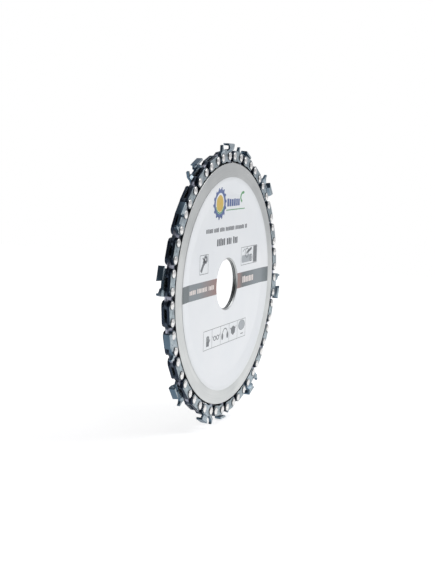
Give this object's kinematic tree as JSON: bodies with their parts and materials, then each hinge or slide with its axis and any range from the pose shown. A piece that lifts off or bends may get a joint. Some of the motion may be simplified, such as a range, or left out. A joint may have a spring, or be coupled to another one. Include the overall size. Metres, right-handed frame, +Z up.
{
  "type": "angle grinder carving disc",
  "caption": "Wood carving disc for an angle grinder: a closed saw chain with cutters to both sides, held in the rim groove of a dished, riveted steel disc with a round bore and a front label.",
  "frame": {"origin": "centre of the bore, halfway through the disc's thickness", "axes": "+Z up as the label reads, +Y along the bore from the labelled front towards the back plate, +X to the right as seen from the front"},
  "size_m": [0.1248, 0.006, 0.1242],
  "materials": {
    "plate_steel": "satin, ground",
    "plate_rivet_steel": "ground flush",
    "label": "printed white sticker",
    "strap_steel": "blued",
    "drive_link_steel": "blued",
    "cutter_steel": "blued, ground edges",
    "chain_rivet_steel": "bright, peened"
  },
  "bodies": {
    "disc": {"front_plate": "plate_steel", "back_plate": "plate_steel", "plate_rivets": "plate_rivet_steel", "front_label": "label"},
    "chain": {"front_tie_straps": "strap_steel", "back_tie_straps": "strap_steel", "chain_rivets": "chain_rivet_steel", "drive_link_01": "drive_link_steel", "drive_link_02": "drive_link_steel", "drive_link_03": "drive_link_steel", "drive_link_04": "drive_link_steel", "drive_link_05": "drive_link_steel", "drive_link_06": "drive_link_steel", "drive_link_07": "drive_link_steel", "drive_link_08": "drive_link_steel", "drive_link_09": "drive_link_steel", "drive_link_10": "drive_link_steel", "drive_link_11": "drive_link_steel", "drive_link_12": "drive_link_steel", "drive_link_13": "drive_link_steel", "drive_link_14": "drive_link_steel", "drive_link_15": "drive_link_steel", "drive_link_16": "drive_link_steel", "drive_link_17": "drive_link_steel", "drive_link_18": "drive_link_steel", "drive_link_19": "drive_link_steel", "drive_link_20": "drive_link_steel", "drive_link_21": "drive_link_steel", "drive_link_22": "drive_link_steel", "drive_link_23": "drive_link_steel", "drive_link_24": "drive_link_steel", "drive_link_25": "drive_link_steel", "drive_link_26": "drive_link_steel", "drive_link_27": "drive_link_steel", "drive_link_28": "drive_link_steel", "front_cutter_1": "cutter_steel", "front_cutter_2": "cutter_steel", "front_cutter_3": "cutter_steel", "front_cutter_4": "cutter_steel", "front_cutter_5": "cutter_steel", "front_cutter_6": "cutter_steel", "front_cutter_7": "cutter_steel", "back_cutter_1": "cutter_steel", "back_cutter_2": "cutter_steel", "back_cutter_3": "cutter_steel", "back_cutter_4": "cutter_steel", "back_cutter_5": "cutter_steel", "back_cutter_6": "cutter_steel", "back_cutter_7": "cutter_steel"}
  },
  "joints": [
    {"name": "chain_slip", "type": "hinge", "parent": "disc", "child": "chain", "pos_m": [0, 0, 0], "axis": [0, -1, 0], "continuous": true}
  ]
}
